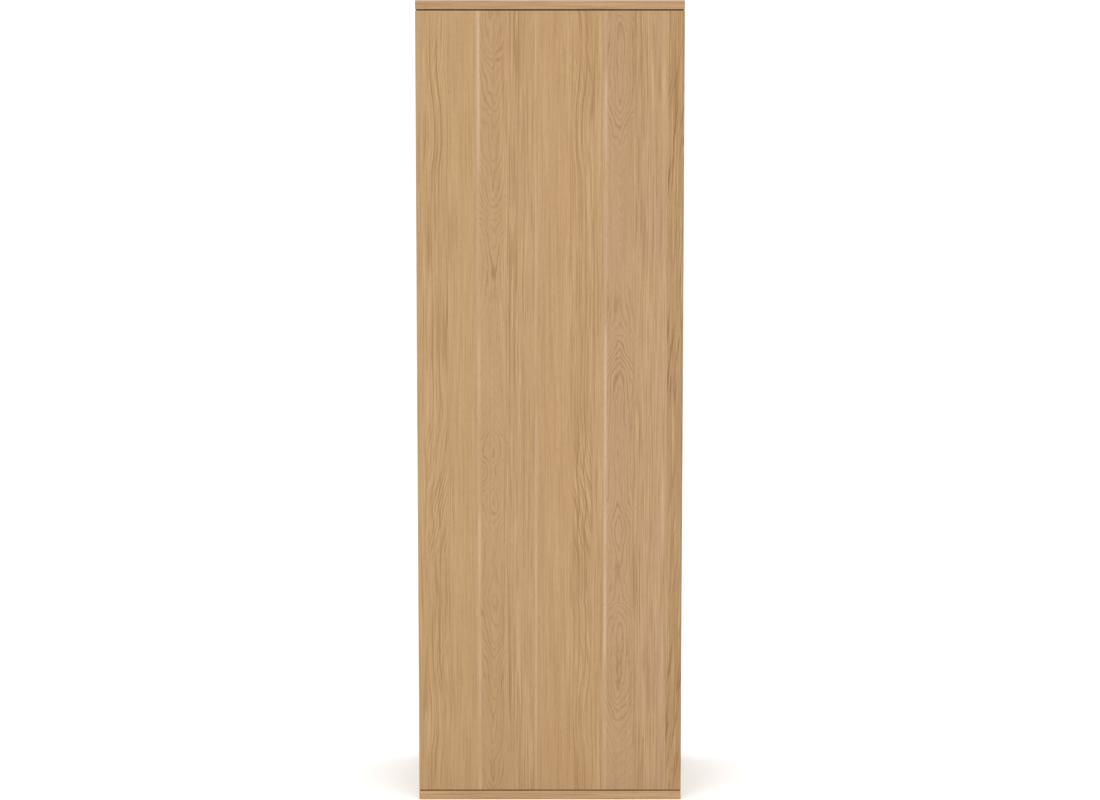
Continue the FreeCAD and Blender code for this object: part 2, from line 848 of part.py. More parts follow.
def mount_screw_places(height):
    y = from_front(ROW_PLACE)
    return [(WEB_FACE, y, f"{height} + {side} * dims.row_step / 2") for side in (-1, 1)]


def hinge_mount(height):
    """A cross-shaped plate: a spine under the arm and two wings for its screws."""
    spine = box(
        "dims.mount_thick",
        "dims.arm_rear - dims.mount_front",
        f"2 * {CHEEK_OUTER}",
        (INNER_LEFT, from_front("dims.mount_front"), f"{height} - {CHEEK_OUTER}"),
    )
    wings = box(
        "dims.mount_thick",
        "dims.wing_width",
        "dims.wing_length",
        (INNER_LEFT, f"{from_front(ROW_PLACE)} - dims.wing_width / 2", f"{height} - dims.wing_length / 2"),
    )
    holes = spaces("mount", mount_screw_places(height), "-x")
    return cut(fuse(spine, wings), *holes, arm_screw(height))


for height, word in zip(HINGE_HEIGHTS, ("bottom", "lower", "upper", "top")):
    node(hinge_cup(height), f"hinge_cup_{word}")
    node(hinge_arm(height), f"hinge_arm_{word}")
    node(hinge_mount(height), f"hinge_mounting_plate_{word}")


def layer(height, name):
    """The underside of a layer of links in the hinge at a height."""
    return f"{height} + dims.{name}_layer"


def joint_pin(point, height, lowest, highest):
    """A rivet through two neighbouring link layers."""
    base = layer(height, lowest)
    top = layer(height, highest)
    return upright("dims.pin_radius", f"({top}) + dims.link_thick - ({base})", point, base)


main_links = []
long_links = []
short_links = []
rear_links = []
main_link_pins = []
rear_link_pins = []
for height in HINGE_HEIGHTS:
    corners = (ARM_PIN, NEAR_JOINT, FAR_JOINT, ARM_PIN)
    main_links.append(link(corners, layer(height, "main"), tight=(NEAR_JOINT, FAR_JOINT)))
    long_links.append(link((CUP_PIN, NEAR_JOINT, REAR_JOINT), layer(height, "long")))
    short_links.append(link((CUP_FAR_PIN, FAR_JOINT), layer(height, "short")))
    rear_links.append(link((ARM_REAR_PIN, REAR_JOINT), layer(height, "rear"), tight=(REAR_JOINT,)))
    main_link_pins.append(joint_pin(NEAR_JOINT, height, "long", "main"))
    main_link_pins.append(joint_pin(FAR_JOINT, height, "main", "short"))
    rear_link_pins.append(joint_pin(REAR_JOINT, height, "rear", "long"))
node(group(main_links), "hinge_main_links")
node(group(long_links), "hinge_long_links")
node(group(short_links), "hinge_short_links")
node(group(rear_links), "hinge_rear_links")
node(group(main_link_pins), "hinge_main_link_pins")
node(group(rear_link_pins), "hinge_rear_link_pins")


def each_hinge(maker):
    """What a maker gives for all four hinges, in one list."""
    return [item for height in HINGE_HEIGHTS for item in maker(height)]


node(group(each_hinge(arm_pins)), "hinge_arm_pins")
node(group(each_hinge(cup_pins)), "hinge_cup_pins")
node(group(screws("cup", each_hinge(cup_screw_places), "-y")), "hinge_cup_screws")
node(group(screws("mount", each_hinge(mount_screw_places), "-x")), "hinge_mounting_screws")
clamp_screws = []
for height in HINGE_HEIGHTS:
    socket_x = f"{WEB_FACE} + dims.web_thick + dims.arm_screw_head_thick"
    socket_at = (socket_x, from_front("dims.arm_screw_back"), height)
    socket = hexagon("dims.drive_radius", "dims.drive_depth", socket_at, "-x")
    clamp_screws.append(cut(arm_screw(height), socket))
node(group(clamp_screws), "hinge_arm_screws")


# ---------------------------------------------------------------- push latch

LATCH_FRONT = f"({SIDE_FRONT} + dims.latch_inset)"
LATCH_X = f"({INNER_RIGHT} - dims.latch_width)"
PLUNGER_X = f"({INNER_RIGHT} - dims.latch_width / 2)"
PLUNGER_Z = "(dims.latch_base + dims.latch_size / 2)"
STRIKE_FACE = f"({DOOR_BACK} + dims.strike_thick)"
PLUNGER_TIP = f"({STRIKE_FACE} + dims.strike_gap)"


LATCH_SCREW_PLACES = [
    (LATCH_X, f"{LATCH_FRONT} + {along}", f"dims.latch_base + {up}")
    for along, up in (
        ("dims.latch_screw_along", "dims.latch_screw_up"),
        ("dims.latch_length - dims.latch_screw_along", "dims.latch_size - dims.latch_screw_up"),
    )
]
STRIKE_SCREW_PLACES = [
    (PLUNGER_X, STRIKE_FACE, f"{PLUNGER_Z} + {side} * dims.strike_screw_spacing / 2") for side in (-1, 1)
]


def plunger_round(radius, length, back="0"):
    """A cylinder on the plunger's axis that starts a distance behind its tip."""
    return cylinder(radius, length, (PLUNGER_X, f"{PLUNGER_TIP} + {back}", PLUNGER_Z), "y")


def ease_box(block):
    """Round the edges of a block's face that looks away from the side panel."""
    document.recompute()
    inner = min(vertex.X for vertex in block.Shape.Vertexes)
    radius = float(sheet.latch_edge_radius)
    edges = []
    for number, edge in enumerate(block.Shape.Edges, start=1):
        if all(near(vertex.X, inner) for vertex in edge.Vertexes):
            edges.append((number, radius, radius))
    made = document.addObject("Part::Fillet", "eased")
    made.Base = block
    made.Edges = edges
    return made


housing_block = box(
    "dims.latch_width",
    "dims.latch_length",
    "dims.latch_size",
    (LATCH_X, LATCH_FRONT, "dims.latch_base"),
)
housing_bore = cylinder(
    "dims.latch_bore_radius",
    "dims.latch_bore_length",
    (PLUNGER_X, LATCH_FRONT, PLUNGER_Z),
    "y",
)
housing_holes = spaces("latch", LATCH_SCREW_PLACES, "x")
node(cut(ease_box(housing_block), housing_bore, *housing_holes), "push_latch_housing")
node(group(screws("latch", LATCH_SCREW_PLACES, "x")), "push_latch_screws")

HOLLOW_LENGTH = "dims.plunger_length - dims.plunger_nose"
plunger = cut(
    plunger_round("dims.plunger_radius", "dims.plunger_length"),
    plunger_round("dims.plunger_bore_radius", HOLLOW_LENGTH, "dims.plunger_nose"),
    plunger_round("dims.magnet_radius", "dims.magnet_length"),
)
node(plunger, "push_latch_plunger")
node(plunger_round("dims.magnet_radius", "dims.magnet_length"), "push_latch_magnet")


def coil_spring(length, pitch, mean_radius, wire_radius):
    """A compression spring that winds along Z from the origin."""
    spine = Part.makeHelix(pitch, length, mean_radius)
    section = Part.Wire([Part.makeCircle(wire_radius, Vector(mean_radius, 0, 0), Vector(0, 1, 0))])
    return Part.Wire(spine.Edges).makePipeShell([section], True, True)


latch_spring = document.addObject("Part::Feature", "latch_spring")
latch_spring.Shape = coil_spring(
    float(sheet.spring_length),
    float(sheet.spring_pitch),
    float(sheet.spring_radius),
    float(sheet.spring_wire_radius),
)
place(latch_spring, PLUNGER_X, f"{PLUNGER_TIP} + dims.spring_start", PLUNGER_Z, along="y")
node(latch_spring, "push_latch_spring")

strike = box(
    "dims.strike_width",
    "dims.strike_thick",
    "dims.strike_height",
    (f"{PLUNGER_X} - dims.strike_width / 2", DOOR_BACK, f"{PLUNGER_Z} - dims.strike_height / 2"),
)
strike_spaces = spaces("strike", STRIKE_SCREW_PLACES, "-y")
node(cut(strike, *strike_spaces), "strike_plate")
node(group(screws("strike", STRIKE_SCREW_PLACES, "-y")), "strike_plate_screws")


# ---------------------------------------------------------------- door

door_board = board(
    "door_board",
    "XZ_Plane",
    "dims.cab_width",
    f"{INNER_HEIGHT} - dims.gap_above_door - dims.gap_below_door",
    "dims.door_thick",
    (LEFT, FRONT, DOOR_BASE),
    grows_back=True,
)
ease(door_board, lambda point: near(point.y, 0))
cup_holes = sketch(door_board, "XZ_Plane", "-dims.door_thick")
for height in HINGE_HEIGHTS:
    add_circle(cup_holes, "dims.cup_radius", "dims.cup_centre_in", f"{height} - {DOOR_BASE}")
pocket(door_board, cup_holes, "dims.cup_depth", towards_normal=True)
door_holes = spaces("cup", each_hinge(cup_screw_places), "-y")
door_holes += spaces("strike", STRIKE_SCREW_PLACES, "-y")
node(cut(door_board, *door_holes), "door")


# ---------------------------------------------------------------- side panels, machined

for height in (HINGE_HEIGHTS[0], HINGE_HEIGHTS[-1]):
    for side in (-1, 1):
        where = (INNER_LEFT, from_front(ROW_PLACE), f"{height} + {side} * dims.row_step / 2")
        left_tools.append(cylinder("dims.mount_screw_shank", "dims.peg_hole_depth", where, "-x"))
left_tools += spaces("back", back_screw_places[:BACK_SCREW_ROWS], "-y")
right_tools += spaces("back", back_screw_places[BACK_SCREW_ROWS : 2 * BACK_SCREW_ROWS], "-y")
right_tools += spaces("latch", LATCH_SCREW_PLACES, "x")
node(cut(left_board, fuse(*left_tools)), "left_side_panel")
node(cut(right_board, fuse(*right_tools)), "right_side_panel")


# ---------------------------------------------------------------- levelling feet

bushes = []
for x, y, corner in FOOT_PLACES:
    foot = fuse(
        cylinder("dims.foot_radius", "dims.foot_thick", (x, y, "0")),
        cylinder("dims.stem_radius", "dims.stem_length", (x, y, "0")),
    )
    socket_at = (x, y, "dims.stem_length - dims.key_socket_depth")
    socket = hexagon("dims.key_socket_radius", "dims.key_socket_depth", socket_at)
    node(cut(foot, socket), f"levelling_foot_{corner}")
    where = (x, y, "dims.foot_recess_depth")
    bushes.append(
        cut(
            cylinder("dims.bush_radius", "dims.bush_length", where),
            cylinder("dims.stem_bore", "dims.bush_length", where),
        )
    )
node(group(bushes), "foot_bushes")


# ---------------------------------------------------------------- wall brackets

def bracket_screw_places(side):
    middle = f"{side} * dims.bracket_spacing / 2"
    y = f"{BACK_FACE} - dims.bracket_screw_forward"
    z = f"{TOP_INNER} - dims.bracket_thick"
    return [(f"{middle} + {step} * dims.bracket_screw_spacing / 2", y, z) for step in (-1, 1)]


for side, word in ((-1, "left"), (1, "right")):
    x = f"{side} * dims.bracket_spacing / 2 - dims.bracket_width / 2"
    upright_leg = box(
        "dims.bracket_width",
        "dims.bracket_thick",
        "dims.bracket_leg",
        (x, f"{BACK_FACE} - dims.bracket_thick", f"{TOP_INNER} - dims.bracket_leg"),
    )
    level_leg = box(
        "dims.bracket_width",
        "dims.bracket_leg",
        "dims.bracket_thick",
        (x, f"{BACK_FACE} - dims.bracket_leg", f"{TOP_INNER} - dims.bracket_thick"),
    )
    hole = cylinder(
        "dims.wall_hole_radius",
        "dims.bracket_thick",
        (
            f"{side} * dims.bracket_spacing / 2",
            f"{BACK_FACE} - dims.bracket_thick",
            f"{TOP_INNER} - dims.wall_hole_drop",
        ),
        "y",
    )
    screw_holes = spaces("bracket", bracket_screw_places(side), "z")
    node(cut(fuse(upright_leg, level_leg), hole, *screw_holes), f"wall_bracket_{word}")
all_bracket_screws = bracket_screw_places(-1) + bracket_screw_places(1)
node(group(screws("bracket", all_bracket_screws, "z")), "wall_bracket_screws")
node(cut(top_board, *spaces("bracket", all_bracket_screws, "z")), "top_panel")


# ---------------------------------------------------------------- checks and files

document.recompute()

for item in document.Objects:
    if "Invalid" in item.State or "Error" in item.State:
        raise SystemExit(f"{item.Label} failed to build")
    if item.TypeId == "PartDesign::Pocket" and item.Shape.Volume >= item.BaseFeature.Shape.Volume:
        raise SystemExit(f"{item.Label} cuts nothing")
for item in nodes:
    if item.Shape.isNull() or not item.Shape.isValid():
        raise SystemExit(f"{item.Label} has no valid shape")

os.makedirs("parts", exist_ok=True)
for item in nodes:
    item.Shape.exportStep(f"parts/{item.Label}.step")
print(f"{len(nodes)} sub-parts written")
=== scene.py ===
import json
import math

import bpy
import mathutils
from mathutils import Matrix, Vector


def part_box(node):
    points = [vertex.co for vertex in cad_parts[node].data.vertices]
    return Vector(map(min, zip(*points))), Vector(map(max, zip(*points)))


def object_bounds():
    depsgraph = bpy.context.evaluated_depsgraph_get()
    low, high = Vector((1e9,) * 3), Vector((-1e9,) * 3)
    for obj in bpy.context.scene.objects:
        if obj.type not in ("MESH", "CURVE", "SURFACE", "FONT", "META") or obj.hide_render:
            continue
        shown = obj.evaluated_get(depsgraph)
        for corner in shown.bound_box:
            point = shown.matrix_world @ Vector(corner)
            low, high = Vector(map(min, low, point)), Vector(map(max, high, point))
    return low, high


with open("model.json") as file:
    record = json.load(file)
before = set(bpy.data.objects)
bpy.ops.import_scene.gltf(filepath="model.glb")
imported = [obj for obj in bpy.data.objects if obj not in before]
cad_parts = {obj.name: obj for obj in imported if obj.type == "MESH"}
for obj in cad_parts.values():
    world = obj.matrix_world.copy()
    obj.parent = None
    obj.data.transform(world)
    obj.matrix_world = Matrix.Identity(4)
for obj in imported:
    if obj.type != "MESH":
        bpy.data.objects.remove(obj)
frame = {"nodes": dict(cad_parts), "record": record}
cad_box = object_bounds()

nodes = frame["nodes"]
scene = bpy.context.scene


def srgb(red, green, blue):
    """A display colour, 0 to 255, as a linear RGBA tuple."""
    def channel(value):
        value /= 255
        return value / 12.92 if value <= 0.04045 else ((value + 0.055) / 1.055) ** 2.4
    return (channel(red), channel(green), channel(blue), 1.0)


# ------------------------------------------------------------ node tree helpers

class Graph:
    """Adds nodes to a tree; every input may be a socket or a plain value."""

    def __init__(self, tree):
        self.tree = tree

    def add(self, kind, **settings):
        made = self.tree.nodes.new(kind)
        for name, value in settings.items():
            setattr(made, name, value)
        return made

    def feed(self, socket, value):
        if isinstance(value, bpy.types.NodeSocket):
            self.tree.links.new(value, socket)
        else:
            socket.default_value = value

    def math(self, operation, *values):
        made = self.add("ShaderNodeMath", operation=operation)
        for socket, value in zip(made.inputs, values):
            self.feed(socket, value)
        return made.outputs[0]

    def mix(self, factor, first, second):
        made = self.add("ShaderNodeMix", data_type="FLOAT")
        self.feed(made.inputs["Factor"], factor)
        self.feed(made.inputs["A"], first)
        self.feed(made.inputs["B"], second)
        return made.outputs["Result"]

    def blend(self, factor, first, second):
        made = self.add("ShaderNodeMix", data_type="RGBA")
        self.feed(made.inputs["Factor"], factor)
        self.feed(made.inputs["A"], first)
        self.feed(made.inputs["B"], second)
        return made.outputs["Result"]

    def vector(self, x, y, z):
        made = self.add("ShaderNodeCombineXYZ")
        for socket, value in zip(made.inputs, (x, y, z)):
            self.feed(socket, value)
        return made.outputs[0]

    def noise(self, x, y, z, detail=2.0, roughness=0.5):
        made = self.add("ShaderNodeTexNoise", noise_dimensions="3D")
        self.feed(made.inputs["Vector"], self.vector(x, y, z))
        made.inputs["Scale"].default_value = 1.0
        made.inputs["Detail"].default_value = detail
        made.inputs["Roughness"].default_value = roughness
        return made.outputs["Fac"]

    def spread(self, value, low, high, to_low=0.0, to_high=1.0):
        """Maps low..high smoothly to to_low..to_high, clamped."""
        made = self.add("ShaderNodeMapRange", interpolation_type="SMOOTHSTEP")
        for socket, number in zip(made.inputs, (value, low, high, to_low, to_high)):
            self.feed(socket, number)
        return made.outputs["Result"]


# ------------------------------------------------------------ oak

# The veneer is one sheet of five strips that repeats down the board. Its sizes are in metres and
# its places across, such as the seams between strips, are fractions of the width.
SHEET_WIDTH = 0.596
REPEAT = 1.323
STRIPS = (0.226, 0.444, 0.700, 0.940)
# How much brighter the lit front shows than its own colour, in red, green and blue.
LIGHT_LEVEL = (1.55, 1.57, 1.72)

# Where each heart lies, how far its rings climb over one repeat and how clearly they show. A
# curve's points are a place, in the repeat or across the sheet, and the value there, 0 to 1.
HEARTS = (0.284, 0.761)
HEART_SPLIT = 0.6
RING_STEP = 0.0082
RING_DEPTH = 0.006
LEFT_CLIMB = 0.150
LEFT_RINGS = [
    (0.0, 0.06), (0.05, 0.12), (0.10, 0.30), (0.15, 0.37), (0.18, 0.45), (0.24, 0.52), (0.27, 0.61),
    (0.30, 0.65), (0.40, 0.97), (0.45, 1.0), (0.56, 0.72), (0.69, 0.34), (0.74, 0.14), (0.775, 0.26),
    (0.82, 0.0), (0.90, 0.12), (1.0, 0.06),
]
LEFT_CLEAR = [
    (0.0, 0.85), (0.12, 0.65), (0.22, 0.55), (0.30, 0.95), (0.43, 0.95), (0.50, 0.25), (0.68, 0.25),
    (0.74, 0.8), (0.84, 0.8), (0.92, 0.4), (1.0, 0.85),
]
RIGHT_CLIMB = 0.115
RIGHT_RINGS = [
    (0.0, 0.20), (0.10, 0.0), (0.19, 0.22), (0.33, 0.70), (0.45, 1.0), (0.49, 0.98), (0.56, 0.80),
    (0.66, 0.42), (0.70, 0.44), (0.76, 0.36), (0.82, 0.34), (0.88, 0.20), (0.92, 0.26), (1.0, 0.20),
]
RIGHT_CLEAR = [
    (0.0, 0.5), (0.06, 0.85), (0.17, 0.85), (0.24, 0.3), (0.44, 0.3), (0.50, 0.9), (0.66, 0.95),
    (0.72, 0.55), (0.80, 0.75), (0.90, 0.7), (1.0, 0.5),
]

# Masks across the sheet: hearts, the strength of straight lines, and where those lines bow.
HEART_BAND = [
    (0.0, 0.0), (0.228, 0.0), (0.234, 0.9), (0.262, 1.0), (0.310, 1.0), (0.345, 0.0), (0.700, 0.0),
    (0.712, 1.0), (0.795, 1.0), (0.835, 0.0), (1.0, 0.0),
]
LINE_BAND = [
    (0.0, 0.9), (0.10, 1.0), (0.13, 0.55), (0.222, 0.4), (0.235, 0.15), (0.31, 0.35), (0.35, 0.9),
    (0.443, 0.75), (0.45, 0.4), (0.56, 0.5), (0.59, 0.95), (0.70, 0.9), (0.72, 0.15), (0.80, 0.4),
    (0.84, 1.0), (0.94, 0.85), (0.95, 0.9), (1.0, 0.9),
]
BOW_BAND = [
    (0.0, 0.5), (0.03, 0.55), (0.075, 1.0), (0.13, 0.55), (0.20, 0.5), (0.53, 0.5), (0.58, 0.45),
    (0.622, 0.0), (0.665, 0.45), (0.70, 0.5), (1.0, 0.5),
]
# Down the repeat: how the lines bow, where they lean, and where the last strip's lines show.
BOW = [
    (0.0, 0.45), (0.07, 0.72), (0.13, 0.50), (0.205, 0.10), (0.27, 0.50), (0.40, 0.62), (0.55, 0.55),
    (0.66, 0.42), (0.72, 0.62), (0.77, 0.36), (0.83, 0.68), (0.88, 0.40), (0.94, 0.55), (1.0, 0.45),
]
LEAN = [
    (0.0, 0.0), (0.06, 0.3), (0.10, 0.6), (0.14, 0.1), (0.20, 0.0), (0.66, 0.0), (0.71, 0.7), (0.78, 1.0),
    (0.88, 1.0), (0.92, 0.3), (0.96, 0.0), (1.0, 0.0),
]
STRIP_TURN = [
    (0.0, 0.35), (0.10, 0.5), (0.13, 0.95), (0.27, 0.9), (0.33, 0.4), (0.48, 0.5), (0.52, 0.9), (0.62, 0.9),
    (0.68, 0.4), (1.0, 0.35),
]

# One tone to a strip. The figure is laid over it in layers.
STRIP_TONES = ((194, 156, 112), (193, 155, 115), (194, 155, 112), (190, 153, 118), (177, 138, 95))
# Pale streaks beside the seams: place across, reach and strength.
PALE_STREAKS = ((0.233, 0.011, 1.0), (0.447, 0.007, 0.6), (0.708, 0.011, 1.0), (0.925, 0.010, 0.4))
# Single dark lines: their places across, and their half widths as fractions.
DARK_LINES = (0.060, 0.086, 0.346, 0.362, 0.606, 0.632, 0.818, 0.838)
DARK_LINE_CORE = 0.0004
DARK_LINE_REACH = 0.0034

# Noise patterns: cells per metre across the sheet and down it, and a shift that sets them apart.
SLOW = (7.0, 1.3, 0.0)
MEDIUM = (30.0, 6.0, 1.0)
QUICK = (110.0, 34.0, 2.0)
RING_BREAKS = (55.0, 9.0, 3.0)
BOLD_LINES = (300.0, 3.6, 4.0)
FINE_LINES = (330.0, 5.0, 5.0)
LIGHT_LINES = (290.0, 4.0, 6.0)
WIDE_LINES = (38.0, 0.9, 7.0)
PATCHES = (9.0, 3.0, 8.0)
GRIT = (700.0, 160.0, 9.0)
PORES = (1400.0, 60.0, 10.0)
SEAM_BREAKS = (6.0, 3.2, 11.0)
COARSE_LINES = (260.0, 9.0, 12.0)
DARK_LINE_BREAKS = (4.0, 5.0, 13.0)
LEANING_LINES = (330.0, 9.0, 14.0)

# Each layer of the figure: how strongly it covers what lies under it, and its tone.
LAYERS = {
    "patch": (0.35, (200, 163, 124)),
    "wide": (0.25, (180, 143, 98)),
    "light": (0.68, (209, 175, 130)),
    "fine": (0.72, (170, 129, 84)),
    "bold": (0.70, (154, 109, 64)),
    "rings": (0.88, (160, 117, 74)),
    "coarse": (0.85, (138, 94, 48)),
    "pores": (0.22, (140, 102, 62)),
}
LEANING_COVER = 0.55
LEANING_TONES = ((205, 170, 124), (164, 122, 77))
SEAM_TONE = (213, 180, 150)
GRIT_TONE = (150, 112, 72)

# How far the hearts wander and their rings are warped, in metres, and how thin the rings are.
HEART_WANDER = 0.010
RING_WARP_WIDE = 0.034
RING_WARP_FINE = 0.0080
RING_SHARPNESS = 3.2
# How far the straight lines bow and drift, in metres, and how steeply they lean.
BOW_REACH = 0.036
LINE_DRIFT = 0.012
LEANING_SLOPE = 0.20
COARSE_SLOPE = 0.09
COARSE_DRIFT = 0.05
# A step between the noise of neighbouring strips, so that the pattern breaks at each seam.
LANE_STEP = 7.3
# Some rings are weaker than others, and straight lines never quite leave the hearts.
WEAKEST_RING = 0.45
WEAKEST_LINE = 0.15

# Gloss and relief.
OAK_ROUGHNESS = 0.44
FINE_ROUGHNESS = 0.08
PORE_ROUGHNESS = 0.15
PORE_HEIGHT = -0.8
RING_HEIGHT = -0.3
FINE_HEIGHT = -0.3
OAK_SPECULAR = 0.35
OAK_BUMP_STRENGTH = 0.25
OAK_BUMP_DISTANCE = 0.0004
# A face belongs to the Y or Z axis when its normal lies this far along it.
FACING_LIMIT = 0.7


def wood_tone(red, green, blue):
    """A display colour scaled back by the light that falls on the front."""
    lit = srgb(red, green, blue)
    return tuple(channel / level for channel, level in zip(lit, LIGHT_LEVEL)) + (1.0,)


def oak_group():
    """Oak veneer in flat coordinates: metres across the sheet and metres down it."""
    tree = bpy.data.node_groups.new("oak_veneer", "ShaderNodeTree")
    interface = tree.interface
    for name in ("Across", "Down", "Seed", "Lightness"):
        interface.new_socket(name, in_out="INPUT", socket_type="NodeSocketFloat")
    interface.new_socket("Color", in_out="OUTPUT", socket_type="NodeSocketColor")
    interface.new_socket("Roughness", in_out="OUTPUT", socket_type="NodeSocketFloat")
    interface.new_socket("Height", in_out="OUTPUT", socket_type="NodeSocketFloat")
    g = Graph(tree)
    source = g.add("NodeGroupInput")
    across, down, seed = (source.outputs[name] for name in ("Across", "Down", "Seed"))

    def curve(points, value):
        """A smooth curve through the points, read at a value."""
        made = g.add("ShaderNodeFloatCurve")
        handles = made.mapping.curves[0].points
        handles[0].location = points[0]
        handles[1].location = points[-1]
        for point in points[1:-1]:
            handles.new(*point)
        made.mapping.update()
        g.feed(made.inputs["Value"], value)
        return made.outputs[0]

    def noise(pattern, place=across, detail=2.0, roughness=0.5):
        """One of the named patterns, at a place across the sheet."""
        cells_across, cells_down, shift = pattern
        return g.noise(
            g.math("MULTIPLY", place, cells_across),
            g.math("MULTIPLY", down, cells_down),
            g.math("ADD", lane, shift),
            detail,
            roughness,
        )

    def swing(value, reach, around):
        """Moves around by up to half of reach each way, as value goes from 0 to 1."""
        return g.math("MULTIPLY_ADD", g.math("SUBTRACT", value, 0.5), reach, around)

    def cover(color, layer, mask):
        """Lays a named layer over a colour, where its mask shows."""
        strength, tone = LAYERS[layer]
        return g.blend(g.math("MULTIPLY", mask, strength), color, wood_tone(*tone))

    fraction = g.math("FRACT", g.math("DIVIDE", across, SHEET_WIDTH))
    turn = g.math("FRACT", g.math("DIVIDE", down, REPEAT))
    lane = seed
    for number, edge in enumerate(STRIPS, start=1):
        lane = g.math("MULTIPLY_ADD", g.math("GREATER_THAN", fraction, edge), LANE_STEP + number, lane)
    on_right = g.math("GREATER_THAN", fraction, HEART_SPLIT)

    slow = noise(SLOW)
    medium = noise(MEDIUM)
    quick = noise(QUICK)

    # Rings around the two hearts.
    heart = g.mix(on_right, HEARTS[0], HEARTS[1])
    offset = g.math("MULTIPLY", g.math("SUBTRACT", fraction, heart), SHEET_WIDTH)
    offset = swing(slow, HEART_WANDER, offset)
    radius = g.math("SQRT", g.math("MULTIPLY_ADD", offset, offset, RING_DEPTH ** 2))
    climb = g.mix(
        on_right,
        g.math("MULTIPLY", curve(LEFT_RINGS, turn), LEFT_CLIMB),
        g.math("MULTIPLY", curve(RIGHT_RINGS, turn), RIGHT_CLIMB),
    )
    warp = g.math("MULTIPLY", g.math("SUBTRACT", medium, 0.5), RING_WARP_WIDE)
    warp = swing(quick, RING_WARP_FINE, warp)
    ring = g.math("DIVIDE", g.math("ADD", g.math("ADD", radius, climb), warp), RING_STEP)
    which = g.add("ShaderNodeTexWhiteNoise", noise_dimensions="2D")
    g.feed(which.inputs["Vector"], g.vector(g.math("ROUND", ring), lane, 0.0))
    wave = g.math("MULTIPLY_ADD", g.math("COSINE", g.math("MULTIPLY", ring, 2 * math.pi)), 0.5, 0.5)
    weight = g.math("MULTIPLY_ADD", which.outputs[0], 1 - WEAKEST_RING, WEAKEST_RING)
    rings = g.math("MULTIPLY", g.math("POWER", wave, RING_SHARPNESS), weight)
    clear = g.mix(on_right, curve(LEFT_CLEAR, turn), curve(RIGHT_CLEAR, turn))
    broken = g.spread(noise(RING_BREAKS), low=0.30, high=0.58, to_low=0.55)
    rings = g.math("MULTIPLY", rings, g.math("MULTIPLY", clear, broken))
    rings = g.math("MULTIPLY", rings, curve(HEART_BAND, fraction))

    # Straight lines, bowed where a branch once pushed them aside.
    bow_down = g.math("SUBTRACT", curve(BOW, turn), 0.5)
    bow_across = g.math("SUBTRACT", curve(BOW_BAND, fraction), 0.5)
    straight = g.math("MULTIPLY_ADD", g.math("MULTIPLY", bow_down, bow_across), BOW_REACH, across)
    straight = swing(slow, LINE_DRIFT, straight)

    def lines(pattern, low, high):
        """A mask of lines that follow the bows."""
        return g.spread(noise(pattern, straight, roughness=0.55), low, high)

    band = curve(LINE_BAND, fraction)
    soft_band = g.math("MULTIPLY_ADD", band, 1 - WEAKEST_LINE, WEAKEST_LINE)
    bold = g.math("MULTIPLY", lines(BOLD_LINES, low=0.63, high=0.70), band)
    fine = g.math("MULTIPLY", lines(FINE_LINES, low=0.50, high=0.62), soft_band)
    light = g.math("MULTIPLY", lines(LIGHT_LINES, low=0.52, high=0.64), soft_band)
    bowed = g.math("FRACT", g.math("DIVIDE", straight, SHEET_WIDTH))
    for place in DARK_LINES:
        gap = g.math("ABSOLUTE", g.math("SUBTRACT", bowed, place))
        near = g.spread(gap, low=DARK_LINE_CORE, high=DARK_LINE_REACH, to_low=1.0, to_high=0.0)
        cells_across, cells_down, shift = DARK_LINE_BREAKS
        breaks = noise((cells_across, cells_down, shift + place))
        near = g.math("MULTIPLY", near, g.spread(breaks, low=0.40, high=0.60, to_low=0.1))
        bold = g.math("MAXIMUM", bold, near)
    wide = lines(WIDE_LINES, low=0.40, high=0.66)

    # Beside the bows the lines lean, one way in the first strip and the other way in the third.
    side = g.math("MULTIPLY", bow_across, 2.0)
    tilt = g.math("MULTIPLY_ADD", g.math("MULTIPLY", g.math("SIGN", side), down), LEANING_SLOPE, straight)
    leaning = g.spread(noise(LEANING_LINES, tilt), low=0.47, high=0.58)
    beside_bow = g.spread(g.math("ABSOLUTE", side), low=0.12, high=0.6)
    lean_mask = g.math("MULTIPLY", beside_bow, curve(LEAN, turn))

    patch = g.spread(noise(PATCHES), low=0.35, high=0.70)
    grit = g.spread(noise(GRIT, detail=1.0), low=0.25, high=0.75, to_low=0.10, to_high=0.0)
    pores = g.spread(noise(PORES, detail=1.0), low=0.58, high=0.70)

    color = wood_tone(*STRIP_TONES[0])
    for edge, tone in zip(STRIPS, STRIP_TONES[1:]):
        color = g.blend(g.math("GREATER_THAN", fraction, edge), color, wood_tone(*tone))
    color = cover(color, "patch", patch)
    color = cover(color, "wide", wide)
    color = cover(color, "light", light)
    color = cover(color, "fine", fine)
    between, on_line = (wood_tone(*tone) for tone in LEANING_TONES)
    lean_color = g.blend(leaning, between, on_line)
    color = g.blend(g.math("MULTIPLY", lean_mask, LEANING_COVER), color, lean_color)
    color = cover(color, "bold", bold)
    color = cover(color, "rings", rings)

    pale = None
    for place, reach, strength in PALE_STREAKS:
        gap = g.math("ABSOLUTE", g.math("SUBTRACT", fraction, place))
        near = g.spread(gap, low=0.0, high=reach, to_low=strength, to_high=0.0)
        pale = near if pale is None else g.math("MAXIMUM", pale, near)
    pale = g.math("MULTIPLY", pale, g.spread(noise(SEAM_BREAKS), low=0.40, high=0.58, to_low=0.35))
    color = g.blend(pale, color, wood_tone(*SEAM_TONE))

